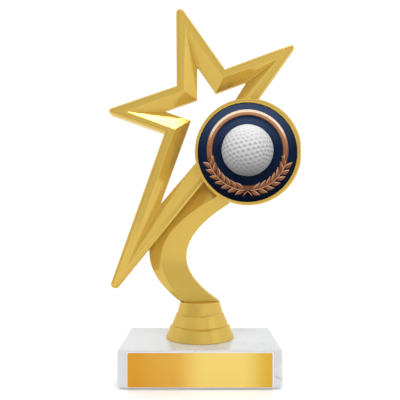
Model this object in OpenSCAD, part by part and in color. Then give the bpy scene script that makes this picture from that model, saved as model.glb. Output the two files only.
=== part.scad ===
// Star trophy: an open star and a round insert holder on a curved stem, over a
// stepped riser and a marble block. Millimetres, +Z up, the front faces -Y.
// The origin is the middle of the underside.

/* [Base] */
// Width of the marble block
base_w = 80; // [76:1:110]
// Depth of the marble block
base_d = 50; // [48:1:70]
// Height of the marble block
base_h = 18; // [16:0.5:30]
// Radius of the block's upright corners
base_corner = 1.6; // [1.2:0.1:3]
// Radius of the block's upper and lower edges
base_edge = 0.8; // [0.3:0.1:1]
// Thickness of the felt pad under the block
pad_t = 0.8; // [0.5:0.1:2]
// How far the felt pad stays inside the block's outline
pad_inset = 1; // [1:0.5:5]
// Width of the nameplate
plate_w = 69.5; // [50:0.5:70]
// Height of the nameplate
plate_h = 16.3; // [10:0.1:16.5]
// Thickness of the nameplate
plate_t = 0.6; // [0.4:0.1:1]
// Thickness of the adhesive backing
tape_t = 0.5; // [0.3:0.1:1]
// How far the backing shows round the nameplate
tape_border = 0.7; // [0.3:0.1:0.8]

/* [Riser] */
// Distance from the middle of the block back to the rod's axis
axis_y = 4; // [0:0.5:6]
// Height of the riser
riser_h = 19.3; // [18:0.1:24]
// Radius of the riser at its foot
riser_foot_r = 18.4; // [17:0.1:20]
// Radius of the riser at its top
riser_top_r = 10.6; // [10.2:0.1:11.2]
// Wall thickness of the riser
riser_wall = 1.8; // [1.2:0.1:2.4]
// Number of ribs inside the riser
riser_ribs = 4; // [3:1:8]

/* [Stem] */
// Leftmost point of the stem's left side
stem_left_x = -27.3; // [-29:0.1:-25]
// Height of that point
stem_left_z = 64; // [62:0.1:66]
// Leftmost point of the stem's right side
stem_right_x = -7.3; // [-9:0.1:-6]
// Height of that point
stem_right_z = 61.9; // [60:0.1:64]
// Lean of the stem's hidden upper left side, sideways per unit of height
stem_lean = 0.83; // [0.7:0.01:0.95]
// Wall left round the hollow in the stem's back
stem_wall = 2; // [1.5:0.1:3]

/* [Star] */
// Thickness of the star from front to back
star_t = 8; // [7:0.1:10]
// Depth from the star's rim back to the opening's edge
slope_depth = 5; // [3:0.1:5.5]
// Radius of the star's points
tip_r = 1.6; // [1.3:0.1:2]
// Radius of the top point
top_tip_r = 2.1; // [1.3:0.1:2.5]
// Radius of the long lower point
long_tip_r = 2.3; // [1.5:0.1:3]
// Outer wall left round the hollows in the star's back
star_wall = 1.8; // [1.2:0.1:2.2]
// Depth of the hollows in the star's back
core_depth = 3.2; // [1:0.1:3.6]

/* [Holder] */
// Radius of the insert holder
holder_r = 26.9; // [26.6:0.1:28]
// Depth of the insert holder
holder_t = 7; // [6:0.1:9]
// Diameter of the insert
insert_d = 50; // [48:0.5:50]
// Thickness of the insert's disc
insert_t = 0.8; // [0.5:0.1:1.2]
// Depth of the insert's face below the holder's lip
insert_recess = 1.3; // [0.8:0.1:2]
// Distance of the flat on the holder's right from the holder's centre
flat_x = 26.3; // [26:0.1:27]
// Radius of the ball in relief
ball_r = 13.1; // [10:0.1:14]
// Height of the ball in relief
ball_rise = 3.4; // [1:0.1:4]
// Pairs of leaves in each laurel spray
leaf_pairs = 7; // [5:1:7]

/* [Fixing] */
// Diameter of the threaded rod
rod_d = 4; // [3:0.5:5]
// Diameter of the counterbore under the block
bore_d = 14; // [12:0.5:18]
// Depth of the counterbore under the block
bore_depth = 9; // [8:0.5:10]

/* [Hidden] */
$fn = 64;

gold = "#d3b04f";
bronze = "#b9794f";
steel = "#b8bcc0";

// A little extra on cutting shapes, so that no two faces coincide
slack = 0.5;

// Heights of the stack
base_top = pad_t + base_h;
stem_z = base_top + riser_h;
stem_top = 119;

// Middle height of the nameplate, and the front of its backing
plate_z = pad_t + base_h / 2 - 0.1;
tape_front = -base_d / 2 - tape_t;

// The riser's outline as radius and height: three cones with small steps between them
foot_step_z = 6.2;
middle_step_z = 12.8;
step = 0.7;
riser_outline = [
    [riser_foot_r, 0],
    [riser_foot_r - 2.45, foot_step_z],
    [riser_foot_r - 2.45 - step, foot_step_z + 0.5],
    [riser_top_r + 2.1, middle_step_z],
    [riser_top_r + 2.1 - step / 2, middle_step_z + 0.7],
    [riser_top_r, riser_h]
];
riser_boss_r = 4.6;

// How sharply the stem's sides bend, below and above their leftmost points
left_bends = [0.0243, 0.0279];
right_bends = [0.0315, 0.0282];
lean_z = stem_left_z + stem_lean / (2 * left_bends[1]);
stem_back = 8.4;
stem_stations = 40;

// The star's corners, clockwise from the top point, as across and up.
// Points and notches take turns, and the third point lies behind the holder.
star_outer = [
    [-12.4, 195.5], [12.9, 159.7], [51.4, 173.9], [27.9, 140.5], [44, 111],
    [9.7, 110.8], [-50.5, 36.6], [-18.4, 126.7], [-50.4, 138], [-12.1, 151.1]
];
// The crest where the flat rim turns into the inner slope
star_crest = [
    [-7.5, 182], [12, 155.3], [40.9, 165.4], [22.8, 140.7], [38, 114.5],
    [9, 113.5], [-37.7, 58], [-13.1, 128.3], [-38.5, 137.6], [-8.4, 148.4]
];
// The edge of the opening at the foot of the slope
star_opening = [
    [-1.5, 162.5], [8.4, 148.3], [24.7, 154.4], [15.8, 140.5], [27.4, 120.7],
    [5.3, 120.5], [-20.9, 89.7], [-4.8, 133.9], [-19, 138.8], [-1.5, 144.8]
];
notch_r = 0.3;
tip_radii = [top_tip_r, notch_r, tip_r, notch_r, tip_r, notch_r, long_tip_r, notch_r, tip_r, notch_r];
tip_steps = 6;
star_front = -star_t;

// The holder stands on the star's front, with its recess slightly off its centre
holder_x = 24.3;
holder_z = 116;
holder_back = star_front;
lip_y = holder_back - holder_t;
recess_shift = [-0.45, -0.25];
recess_r = insert_d / 2 + 0.1;
lip_round = 0.9;
face_y = lip_y + insert_recess;
insert_x = holder_x + recess_shift.x;
insert_z = holder_z + recess_shift.y;
tape_gap = 0.3;
holder_hollow_depth = 2;

// The artwork in relief on the insert
art_x = 23.95;
art_z = 116.85;
ring_outer_r = 20.6;
ring_inner_r = 17.7;
ring_rise = 0.5;
spray_rise = 0.6;
spray_r = 20.4;
leaf_pitch = 9.9;
leaf_sweep = 11;
leaf_w = 2.3;

// Pins that join the holder, the star and the stem
pin_d = 2.4;
pin_boss_r = 3.2;
pin_reach = 2.5;
stem_pins = [[8, 115.6], [38.5, 113.5]];
star_pin = [25.7, 133.8];
pin_places = concat(stem_pins, [star_pin]);

// The brass insert in the stem's foot
brass_d = 5.6;
brass_h = 5;

// Fasteners under the block
washer_t = 0.8;
spring_t = 1;
nut_t = 3.2;
nut_across_flats = 7;
washer_z = pad_t + bore_depth - washer_t;
spring_z = washer_z - spring_t;
nut_z = spring_z - nut_t;
rod_bottom = nut_z - 1.3;
rod_top = stem_z + brass_h - 0.5;

function unit(v) = v / norm(v);

// Points of an arc of radius r that rounds the corner p between a and b
function corner_arc(a, p, b, r) =
    let (u = unit(a - p), v = unit(b - p), half = acos(u * v) / 2, turn = 180 - 2 * half,
         centre = p + unit(u + v) * r / sin(half),
         from = p + u * r / tan(half) - centre, to = p + v * r / tan(half) - centre)
    [for (i = [0:tip_steps]) let (t = i / tip_steps)
        centre + (from * sin((1 - t) * turn) + to * sin(t * turn)) / sin(turn)];

// A closed outline with every corner rounded by its own radius
function rounded(pts, radii) = let (n = len(pts))
    [for (i = [0:n - 1]) each corner_arc(pts[(i + n - 1) % n], pts[i], pts[(i + 1) % n], radii[i])];

// The unit vector to the right of a direction, which points into a clockwise outline
function inward(v) = unit([v.y, -v.x]);

// A clockwise outline moved inwards by d
function inset(pts, d) = let (n = len(pts))
    [for (i = [0:n - 1])
        let (before = inward(pts[i] - pts[(i + n - 1) % n]),
             after = inward(pts[(i + 1) % n] - pts[i]))
        pts[i] + (before + after) * d / (1 + before * after)];

// A flat outline in the XZ plane, placed at depth y
function at_depth(pts, y) = [for (p = pts) [p.x, y, p.y]];

// Every point of one outline moved by a share t of the way to another
function between(a, b, t) = [for (i = [0:len(a) - 1]) a[i] * (1 - t) + b[i] * t];

// A closed skin through rings of equal length, with flat ends
module loft(rings) {
    n = len(rings[0]);
    last = (len(rings) - 1) * n;
    points = [for (r = rings) each r];
    sides = [for (k = [0:len(rings) - 2], i = [0:n - 1]) let (j = (i + 1) % n, a = k * n)
        each [[a + i, a + j, a + n + j], [a + i, a + n + j, a + n + i]]];
    ends = [[for (i = [n - 1:-1:0]) i], [for (i = [0:n - 1]) last + i]];
    polyhedron(points = points, faces = concat(ends, sides), convexity = 10);
}

// Extrudes a shape drawn in the XZ plane from depth front to depth back
module upright(front, back) {
    translate([0, back, 0]) rotate([90, 0, 0]) linear_extrude(back - front) children();
}

// Turns a shape's own axis towards the front, with its foot at depth y
module facing(x, y, z) {
    translate([x, y, z]) rotate([90, 0, 0]) children();
}

// Places a shape on the rod's axis at height z
module on_axis(z) {
    translate([0, axis_y, z]) children();
}

module rounded_rectangle(w, d, r) {
    square([w - 2 * r, d], center = true);
    square([w, d - 2 * r], center = true);
    for (x = [-1, 1], y = [-1, 1]) translate([x * (w / 2 - r), y * (d / 2 - r)]) circle(r = r);
}

// A block with rounded upright corners and rounded upper and lower edges
module rounded_block(w, d, h, corner, edge) {
    translate([0, 0, edge]) linear_extrude(h - 2 * edge) rounded_rectangle(w, d, corner);
    linear_extrude(h) rounded_rectangle(w - 2 * edge, d - 2 * edge, corner - edge);
    for (z = [edge, h - edge]) {
        for (y = [-1, 1]) translate([0, y * (d / 2 - edge), z]) rotate([0, 90, 0])
            cylinder(h = w - 2 * corner, r = edge, center = true);
        for (x = [-1, 1]) translate([x * (w / 2 - edge), 0, z]) rotate([90, 0, 0])
            cylinder(h = d - 2 * corner, r = edge, center = true);
        for (x = [-1, 1], y = [-1, 1])
            translate([x * (w / 2 - corner), y * (d / 2 - corner), z])
                rotate_extrude() intersection() {
                    translate([corner - edge, 0]) circle(r = edge);
                    translate([0, -edge]) square([corner, 2 * edge]);
                }
    }
}

module marble_base() {
    color("#ecebea") difference() {
        translate([0, 0, pad_t]) rounded_block(base_w, base_d, base_h, base_corner, base_edge);
        on_axis(0) cylinder(h = base_top + slack, d = rod_d + 1);
        on_axis(0) cylinder(h = pad_t + bore_depth, d = bore_d);
    }
}

module base_pad() {
    color("#d2d3d5") linear_extrude(pad_t)
        rounded_rectangle(base_w - 2 * pad_inset, base_d - 2 * pad_inset, base_corner);
}

module nameplate() {
    color("#e6bc4e") upright(tape_front - plate_t, tape_front) translate([0, plate_z])
        square([plate_w, plate_h], center = true);
}

module nameplate_tape() {
    color("white") upright(tape_front, -base_d / 2) translate([0, plate_z - 0.1])
        rounded_rectangle(plate_w + 2 * tape_border, plate_h + tape_border, 0.4);
}

// The riser's inner outline: the outer one moved in by the wall, under a thick top
module riser_hollow() {
    top = riser_h - riser_wall;
    inner = [for (p = riser_outline) [p.x - riser_wall, min(p.y, top)]];
    polygon(concat([[0, -slack], [inner[0].x, -slack]], inner, [[0, top]]));
}

module riser() {
    rib_t = 1.2;
    color(gold) on_axis(base_top) difference() {
        union() {
            difference() {
                rotate_extrude() polygon(concat([[0, 0]], riser_outline, [[0, riser_h]]));
                rotate_extrude() riser_hollow();
            }
            cylinder(h = riser_h - 1, r = riser_boss_r);
            intersection() {
                rotate_extrude() polygon(concat([[0, 0]], riser_outline, [[0, riser_h]]));
                for (i = [0:riser_ribs - 1]) rotate(i * 360 / riser_ribs + 45)
                    translate([riser_boss_r - slack, -rib_t / 2, 0]) cube([riser_foot_r, rib_t, riser_h]);
            }
        }
        translate([0, 0, -slack]) cylinder(h = riser_h + 1, d = rod_d + 0.6);
    }
}

// A side of the stem: a parabola through its leftmost point, sharper on one side than on the other
function side_curve(z, x, mid_z, bends) = x + (z < mid_z ? bends[0] : bends[1]) * pow(z - mid_z, 2);
function left_curve(z) = side_curve(z, stem_left_x, stem_left_z, left_bends);
// The left side runs straight on once it leans as the star does, and stands upright at its end
function stem_left(z) = min(z < lean_z ? left_curve(z) : left_curve(lean_z) + stem_lean * (z - lean_z), 4);
function stem_right(z) = min(side_curve(z, stem_right_x, stem_right_z, right_bends), 42);
// The crest between the narrow left facet and the wide right one
function stem_crest(z) = min(left_curve(z) + 3 + 0.142 * (z - stem_z), stem_right(z) - 2);
// Depths of the blade's faces: the crest drifts back as it nears the star
function crest_y(z) = -0.8 + 1.1 * min((z - stem_z) / 45, 1);

module stem_blade() {
    loft([for (k = [0:stem_stations]) let (z = stem_z + (stem_top - stem_z) * k / stem_stations) [
        [stem_left(z), crest_y(z) + 3.2, z],
        [stem_left(z), stem_back, z],
        [stem_right(z), stem_back, z],
        [stem_right(z), crest_y(z) + 1.8, z],
        [stem_crest(z), crest_y(z), z]
    ]]);
}

// The hollow in the stem's back, a wall's width inside the blade's sides
module stem_hollow() {
    low = stem_z + 15;
    high = stem_top - 16;
    steps = 20;
    heights = [for (k = [0:steps]) low + (high - low) * k / steps];
    upright(4.6, stem_back + slack) polygon(concat(
        [for (z = heights) [stem_left(z) + stem_wall * 1.2, z]],
        [for (k = [steps:-1:0]) [stem_right(heights[k]) - stem_wall * 1.2, heights[k]]]));
}

module stem() {
    color(gold) difference() {
        union() {
            stem_blade();
            for (p = stem_pins) facing(p.x, 4, p.y) cylinder(h = 4, r = pin_boss_r);
        }
        stem_hollow();
        on_axis(stem_z - slack) cylinder(h = brass_h + slack, d = brass_d);
        for (p = stem_pins) facing(p.x, pin_reach, p.y) cylinder(h = pin_reach + slack, d = pin_d);
    }
}

// The star as a solid, before its opening and hollows are cut
module star_blank() {
    upright(star_front, 0) polygon(rounded(star_outer, tip_radii));
}

// The funnel that cuts the inner slopes: from in front of the crest back to the opening
module star_funnel() {
    extra = slack / slope_depth;
    mouth = between(star_crest, star_opening, -extra);
    throat = between(star_crest, star_opening, 1);
    loft([at_depth(throat, slack), at_depth(throat, star_front + slope_depth),
          at_depth(mouth, star_front - slack)]);
}

// The hollows in the star's back, between its outer wall and the foot of the slope
module star_hollows() {
    ribs = [0.18, 0.42, 0.66, 0.88];
    n = len(star_outer);
    upright(-core_depth, slack) difference() {
        polygon(inset(star_outer, star_wall));
        polygon(between(star_crest, star_opening, 0.45));
        for (i = [0:n - 1], t = ribs)
            let (a = star_outer[i], b = star_outer[(i + 1) % n], p = a + (b - a) * t)
                translate(p) rotate(atan2((b - a).y, (b - a).x)) translate([-0.5, -12]) square([1, 12.5]);
        for (p = pin_places) translate(p) circle(r = pin_boss_r);
    }
}

module star_frame() {
    color(gold) difference() {
        union() {
            difference() {
                star_blank();
                star_funnel();
            }
            for (p = pin_places) facing(p.x, 0, p.y) cylinder(h = star_t, r = pin_boss_r);
        }
        star_hollows();
        for (p = pin_places)
            facing(p.x, slack, p.y) cylinder(h = star_t + 2 * slack, d = pin_d);
    }
}

// The shallow hollow in the holder's back: a ring crossed by ribs, with a boss at each pin
module holder_hollow() {
    ribs = 6;
    rib_t = 1.4;
    facing(holder_x, holder_back + slack, holder_z) linear_extrude(holder_hollow_depth + slack) difference() {
        circle(r = holder_r - 3.5);
        circle(r = 6);
        for (i = [0:ribs - 1]) rotate(i * 360 / ribs) translate([0, -rib_t / 2]) square([holder_r, rib_t]);
        for (p = pin_places) translate(p - [holder_x, holder_z]) circle(r = pin_boss_r);
    }
}

module holder_cup() {
    floor_h = holder_t - insert_recess - insert_t - tape_gap;
    color(gold) difference() {
        facing(holder_x, holder_back, holder_z) intersection() {
            rotate_extrude($fn = 128) {
                square([holder_r, holder_t - lip_round]);
                square([holder_r - lip_round, holder_t]);
                translate([holder_r - lip_round, holder_t - lip_round]) intersection() {
                    circle(r = lip_round);
                    square(lip_round);
                }
            }
            translate([-2 * holder_r + flat_x, -holder_r, 0]) cube([2 * holder_r, 2 * holder_r, holder_t]);
        }
        facing(insert_x, holder_back - floor_h, insert_z)
            cylinder(h = holder_t, r = recess_r, $fn = 128);
        holder_hollow();
        for (p = pin_places)
            facing(p.x, holder_back + slack, p.y) cylinder(h = pin_reach + slack, d = pin_d);
    }
}

module insert_tape() {
    color("#e9e6da") facing(insert_x, face_y + insert_t + tape_gap, insert_z)
        cylinder(h = tape_gap, d = insert_d - 1, $fn = 128);
}

module insert_disc() {
    color("#16243f") facing(insert_x, face_y + insert_t, insert_z)
        cylinder(h = insert_t, d = insert_d, $fn = 128);
}

module insert_ring() {
    color(bronze) facing(art_x, face_y, art_z) difference() {
        cylinder(h = ring_rise, r = ring_outer_r, $fn = 128);
        translate([0, 0, -slack]) cylinder(h = ring_rise + 1, r = ring_inner_r, $fn = 128);
    }
}

// A leaf between its foot and its tip: the overlap of two circles
module leaf(foot, tip) {
    span = norm(tip - foot);
    r = (span * span + leaf_w * leaf_w) / (4 * leaf_w);
    translate((foot + tip) / 2) rotate(atan2((tip - foot).y, (tip - foot).x)) intersection() {
        translate([0, r - leaf_w / 2]) circle(r = r);
        translate([0, leaf_w / 2 - r]) circle(r = r);
    }
}

function polar(r, a) = r * [cos(a), sin(a)];

// The right-hand spray, round the middle of the artwork
module spray() {
    stalk_w = 0.7;
    first = -15;
    linear_extrude(spray_rise) for (i = [0:leaf_pairs - 1]) {
        outer = first - leaf_pitch * i;
        inner = first + 6 - leaf_pitch * i;
        leaf(polar(spray_r, outer - leaf_sweep), polar(23.4, outer));
        leaf(polar(spray_r, inner - leaf_sweep - 4), polar(17.5, inner));
    }
    rotate(-89) rotate_extrude(angle = 70, $fn = 128) translate([spray_r - stalk_w / 2, 0])
        square([stalk_w, spray_rise]);
    translate([0.6, -spray_r - 0.2]) rotate(-55) translate([0, -stalk_w / 2])
        cube([3, stalk_w, spray_rise]);
}

module laurel_right() {
    color(bronze) facing(art_x, face_y - ring_rise, art_z) spray();
}

module laurel_left() {
    color(bronze) facing(art_x, face_y - ring_rise, art_z) mirror([1, 0, 0]) spray();
}

module golf_ball() {
    sphere_r = (ball_r * ball_r + ball_rise * ball_rise) / (2 * ball_rise);
    color("#f2f2f2") facing(art_x, face_y, art_z) intersection() {
        translate([0, 0, ball_rise - sphere_r]) sphere(r = sphere_r, $fn = 128);
        cylinder(h = 2 * ball_rise, r = ball_r + 1, $fn = 128);
    }
}

module threaded_rod() {
    color(steel) on_axis(rod_bottom) cylinder(h = rod_top - rod_bottom, d = rod_d);
}

module threaded_insert() {
    color("#c9a24a") on_axis(stem_z) difference() {
        cylinder(h = brass_h, d = brass_d);
        translate([0, 0, -slack]) cylinder(h = brass_h + 1, d = rod_d);
    }
}

module flat_washer() {
    color(steel) on_axis(washer_z) difference() {
        cylinder(h = washer_t, d = 2 * rod_d + 1);
        translate([0, 0, -slack]) cylinder(h = washer_t + 1, d = rod_d + 0.3);
    }
}

module spring_washer() {
    slit = 0.8;
    color(steel) on_axis(spring_z) difference() {
        cylinder(h = spring_t, d = 2 * rod_d - 0.4);
        translate([0, 0, -slack]) cylinder(h = spring_t + 1, d = rod_d + 0.1);
        translate([0, -slit / 2, -slack]) cube([rod_d, slit, spring_t + 1]);
    }
}

module clamp_nut() {
    color(steel) on_axis(nut_z) difference() {
        cylinder(h = nut_t, d = nut_across_flats / cos(30), $fn = 6);
        translate([0, 0, -slack]) cylinder(h = nut_t + 1, d = rod_d);
    }
}

module location_pins() {
    color(steel) {
        for (p = stem_pins) facing(p.x, pin_reach, p.y)
            cylinder(h = pin_reach + star_t + pin_reach, d = pin_d);
        facing(star_pin.x, 0, star_pin.y) cylinder(h = star_t + pin_reach, d = pin_d);
    }
}

marble_base();
base_pad();
nameplate();
nameplate_tape();
riser();
stem();
star_frame();
holder_cup();
insert_tape();
insert_disc();
insert_ring();
laurel_left();
laurel_right();
golf_ball();
threaded_rod();
threaded_insert();
flat_washer();
spring_washer();
clamp_nut();
location_pins();
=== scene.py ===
from math import pi, radians

import bmesh
import bpy
import numpy as np
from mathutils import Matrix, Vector


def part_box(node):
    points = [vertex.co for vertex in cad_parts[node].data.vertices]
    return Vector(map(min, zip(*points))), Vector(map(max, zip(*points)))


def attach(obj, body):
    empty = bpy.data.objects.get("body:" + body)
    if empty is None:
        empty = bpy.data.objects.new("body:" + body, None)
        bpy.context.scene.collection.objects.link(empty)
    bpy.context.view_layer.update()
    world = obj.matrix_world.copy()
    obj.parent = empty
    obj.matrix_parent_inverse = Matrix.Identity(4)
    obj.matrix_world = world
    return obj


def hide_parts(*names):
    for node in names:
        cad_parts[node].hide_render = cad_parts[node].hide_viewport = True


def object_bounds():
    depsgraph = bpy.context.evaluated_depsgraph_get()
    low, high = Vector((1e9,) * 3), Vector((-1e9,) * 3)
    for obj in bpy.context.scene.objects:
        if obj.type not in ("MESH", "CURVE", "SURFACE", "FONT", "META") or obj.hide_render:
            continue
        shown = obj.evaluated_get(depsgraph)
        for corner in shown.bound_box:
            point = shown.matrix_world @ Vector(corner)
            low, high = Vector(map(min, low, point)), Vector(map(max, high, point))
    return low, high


bl_info = {
    "name": "Star Trophy",
    "version": (1, 0, 0),
    "blender": (4, 5, 0),
    "location": "View3D > Sidebar > Trophy",
    "description": "Builds the surfaces and finishes of a star trophy around its packed frame",
    "category": "Add Mesh",
}

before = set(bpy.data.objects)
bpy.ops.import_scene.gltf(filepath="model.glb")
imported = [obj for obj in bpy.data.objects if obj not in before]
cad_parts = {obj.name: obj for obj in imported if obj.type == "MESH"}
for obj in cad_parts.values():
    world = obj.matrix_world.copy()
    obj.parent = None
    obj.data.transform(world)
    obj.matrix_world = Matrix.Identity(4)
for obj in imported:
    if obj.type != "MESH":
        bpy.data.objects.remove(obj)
CAD_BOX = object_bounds()
BODY = "root"
MM = 0.001


# ---------------------------------------------------------------- settings

def length(name, description, default, low, high):
    """A length in metres with limits, shown in the scene's units."""
    return bpy.props.FloatProperty(name=name, description=description, default=default,
                                   min=low, max=high, subtype="DISTANCE", unit="LENGTH", precision=5)


def amount(name, description, default, low=0.0, high=1.0):
    """A plain number with limits."""
    return bpy.props.FloatProperty(name=name, description=description, default=default, min=low, max=high)


def colour(name, description, default):
    """A colour without alpha, in linear light."""
    return bpy.props.FloatVectorProperty(name=name, description=description, default=default,
                                         min=0.0, max=1.0, size=3, subtype="COLOR")


class TrophyFigureSettings(bpy.types.PropertyGroup):
    gold: colour("Gold", "Base colour of the metallised plastic", (0.69, 0.475, 0.105))
    gold_deep: colour("Deep gold", "Colour of the slightly darker drifts in the plating", (0.66, 0.445, 0.09))
    edge: colour("Edge tint", "Tint of the plating where it is seen at a slant", (0.95, 0.80, 0.42))
    metal: amount("Metal", "How much of the plating reflects as metal", 0.43)
    roughness: amount("Roughness", "Softness of the plating's reflections", 0.11)
    bead: length("Bead", "Radius of the rounded outer edge of the star", 0.0012, 0.0003, 0.002)
    crest: length("Crest", "Radius of the ridge between rim and slope", 0.00028, 0.0001, 0.001)


class TrophyBaseSettings(bpy.types.PropertyGroup):
    marble: colour("Marble", "Ground colour of the block", (0.69, 0.712, 0.735))
    vein: colour("Vein", "Colour of the veins and clouds", (0.42, 0.44, 0.47))
    # The plate colours paint a reflection along the nameplate: warm at the left, palest right of the middle, darker
    # at the right.
    plate_left: colour("Plate, left", "Warm end of the nameplate's gold", (0.67, 0.31, 0.0148))
    plate_painted_reflection: colour("Plate, middle", "Palest part of the nameplate's gold", (0.865, 0.64, 0.163))
    plate_right: colour("Plate, right", "Right end of the nameplate's gold", (0.69, 0.415, 0.027))


class TrophyInsertSettings(bpy.types.PropertyGroup):
    # The navy colours paint shade on the disc: palest at the top, darkest at the bottom, and the darkest also paints
    # the shadows of the ring and the ball.
    navy_top: colour("Navy, top", "Palest blue of the print, at the disc's top", (0.047, 0.074, 0.150))
    navy_middle: colour("Navy, middle", "Blue of the print at half height", (0.0045, 0.012, 0.037))
    navy_low: colour("Navy, bottom", "Darkest blue of the print", (0.0002, 0.0018, 0.009))
    # The bronze colours paint light and shade on the ring and the laurel: shade in the creases, a lit light tone, and
    # cream as the painted highlight on the edges.
    bronze_shade: colour("Bronze, deep", "Darkest bronze, in the creases", (0.075, 0.022, 0.009))
    bronze: colour("Bronze", "Middle tone of the ring and the laurel", (0.300, 0.118, 0.052))
    bronze_light: colour("Bronze, light", "Light tone of the brushed bronze", (0.560, 0.265, 0.125))
    cream: colour("Cream", "Highlight on the edges of the bronze", (0.930, 0.800, 0.620))
    # The ball colours span the ball's painted shading, from its lit top to its shaded bottom.
    ball: colour("Ball", "Lightest tone of the ball", (0.92, 0.92, 0.93))
    ball_shade: colour("Ball, shade", "Darkest tone of the ball", (0.06, 0.06, 0.065))
    dimple_depth: amount("Dimple depth", "Depth of a dimple as a share of the ball's radius", 0.03, 0.0, 0.05)


class TrophyStageSettings(bpy.types.PropertyGroup):
    floor: colour("Floor", "Colour of the floor", (0.99, 0.99, 0.99))
    world: amount("World", "Strength of the white surroundings", 1.04, 0.0, 3.0)
    top: amount("Top light", "Power of the overhead light in watts", 0.65, 0.0, 50.0)
    side: amount("Key light", "Power of the large light high on the right, in watts", 0.2, 0.0, 50.0)


# ---------------------------------------------------------------- outlines and meshes

def unit(v):
    """Vectors scaled to length one, along the last axis."""
    return v / np.linalg.norm(v, axis=-1, keepdims=True)


def inset(corners, width):
    """A clockwise outline moved inwards: each corner slides along its mitre until both of its sides
    have moved by the width."""
    before = unit(corners - np.roll(corners, 1, axis=0))[:, ::-1] * (1, -1)
    after = unit(np.roll(corners, -1, axis=0) - corners)[:, ::-1] * (1, -1)
    dot = np.sum(before * after, axis=1, keepdims=True)
    return corners + (before + after) * width / (1 + dot)


def rounded(corners, radii, steps=8):
    """An outline with each corner replaced by a circular arc that touches both of its sides.
    The arc's centre lies on the corner's bisector at radius / sin(half the corner's angle), and
    the points between its two ends are turned evenly about it."""
    u = unit(np.roll(corners, 1, axis=0) - corners)
    v = unit(np.roll(corners, -1, axis=0) - corners)
    half = np.arccos(np.clip(np.sum(u * v, axis=1), -1, 1)) / 2
    turn = np.maximum(pi - 2 * half, 1e-6)[:, None]
    radii = np.broadcast_to(radii, half.shape)
    centre = corners + unit(u + v) * (radii / np.sin(half))[:, None]
    start = corners + u * (radii / np.tan(half))[:, None] - centre
    end = corners + v * (radii / np.tan(half))[:, None] - centre
    t = np.linspace(0, 1, steps + 1)
    a = (np.sin((1 - t) * turn) / np.sin(turn))[..., None]
    b = (np.sin(t * turn) / np.sin(turn))[..., None]
    return (centre[:, None] + start[:, None] * a + end[:, None] * b).reshape(-1, 2)


def grid_faces(rows, cols, wrap_rows, wrap_cols):
    """Quads between neighbouring rows and columns of a grid of points."""
    r = np.arange(rows if wrap_rows else rows - 1)[:, None]
    c = np.arange(cols if wrap_cols else cols - 1)[None, :]
    r1, c1 = (r + 1) % rows, (c + 1) % cols
    quads = np.stack([r * cols + c, r * cols + c1, r1 * cols + c1, r1 * cols + c], axis=-1)
    return quads.reshape(-1, 4)


def new_piece(name, parts, material, replaces=(), smooth=35.0, weld=1e-7):
    """One object from one or more grids, each (points as rows x columns x 3 in metres, wrap rows,
    wrap columns, and for a piece with painted shading the tone at each point). Points that coincide,
    as at a pole, are welded, and faces are turned outwards."""
    points, faces, tones, first = [], [], [], 0
    for grid, wrap_rows, wrap_cols, *tone in parts:
        rows, cols = grid.shape[:2]
        points.append(grid.reshape(-1, 3))
        tones += [np.broadcast_to(t, (rows, cols)).ravel() for t in tone]
        faces.append(grid_faces(rows, cols, wrap_rows, wrap_cols) + first)
        first += rows * cols
    mesh = bpy.data.meshes.new(name)
    mesh.from_pydata(np.concatenate(points), [], np.concatenate(faces).tolist())
    if tones:
        # The tone attribute carries painted light and shade: painted shadows, shading and highlights.
        painted_shading = mesh.attributes.new("tone", "FLOAT", "POINT")
        painted_shading.data.foreach_set("value", np.concatenate(tones).astype(np.float32))
    bm = bmesh.new()
    bm.from_mesh(mesh)
    bmesh.ops.remove_doubles(bm, verts=bm.verts, dist=weld)
    bmesh.ops.dissolve_degenerate(bm, edges=bm.edges, dist=weld)
    bmesh.ops.recalc_face_normals(bm, faces=bm.faces)
    bm.to_mesh(mesh)
    bm.free()
    mesh.shade_smooth()
    mesh.set_sharp_from_angle(angle=radians(smooth))
    mesh.materials.append(material)
    obj = bpy.data.objects.new(name, mesh)
    bpy.context.scene.collection.objects.link(obj)
    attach(obj, BODY)
    if replaces:
        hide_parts(*replaces)
    return obj


def lathe(profile, centre, axis, segments=192):
    """A profile of (radius, height) turned round an axis through the centre. Axis Z stands up, and
    axis Y faces the front, with height measured forwards, towards -Y."""
    profile = np.asarray(profile, float)
    angle = np.linspace(0, 2 * pi, segments, endpoint=False)
    r, h = profile[:, :1], np.repeat(profile[:, 1:], segments, axis=1)
    if axis == "Z":
        grid = np.stack([r * np.cos(angle), r * np.sin(angle), h], axis=-1)
    else:
        grid = np.stack([r * np.cos(angle), -h, r * np.sin(angle)], axis=-1)
    return grid + np.asarray(centre, float)


def soft_profile(corners, radii, steps=5):
    """An open profile whose inner corners are rounded by arcs, as an outline's are."""
    corners = np.asarray(corners, float)
    arcs = rounded(corners, np.maximum(radii, 1e-6), steps).reshape(len(corners), steps + 1, 2)
    return np.concatenate([corners[:1], arcs[1:-1].reshape(-1, 2), corners[-1:]])


def cad_material(node, material):
    """Gives a CAD node a material in each of its slots."""
    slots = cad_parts[node].data.materials
    for i in range(max(len(slots), 1)):
        if i < len(slots):
            slots[i] = material
        else:
            slots.append(material)


# ---------------------------------------------------------------- materials

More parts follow.
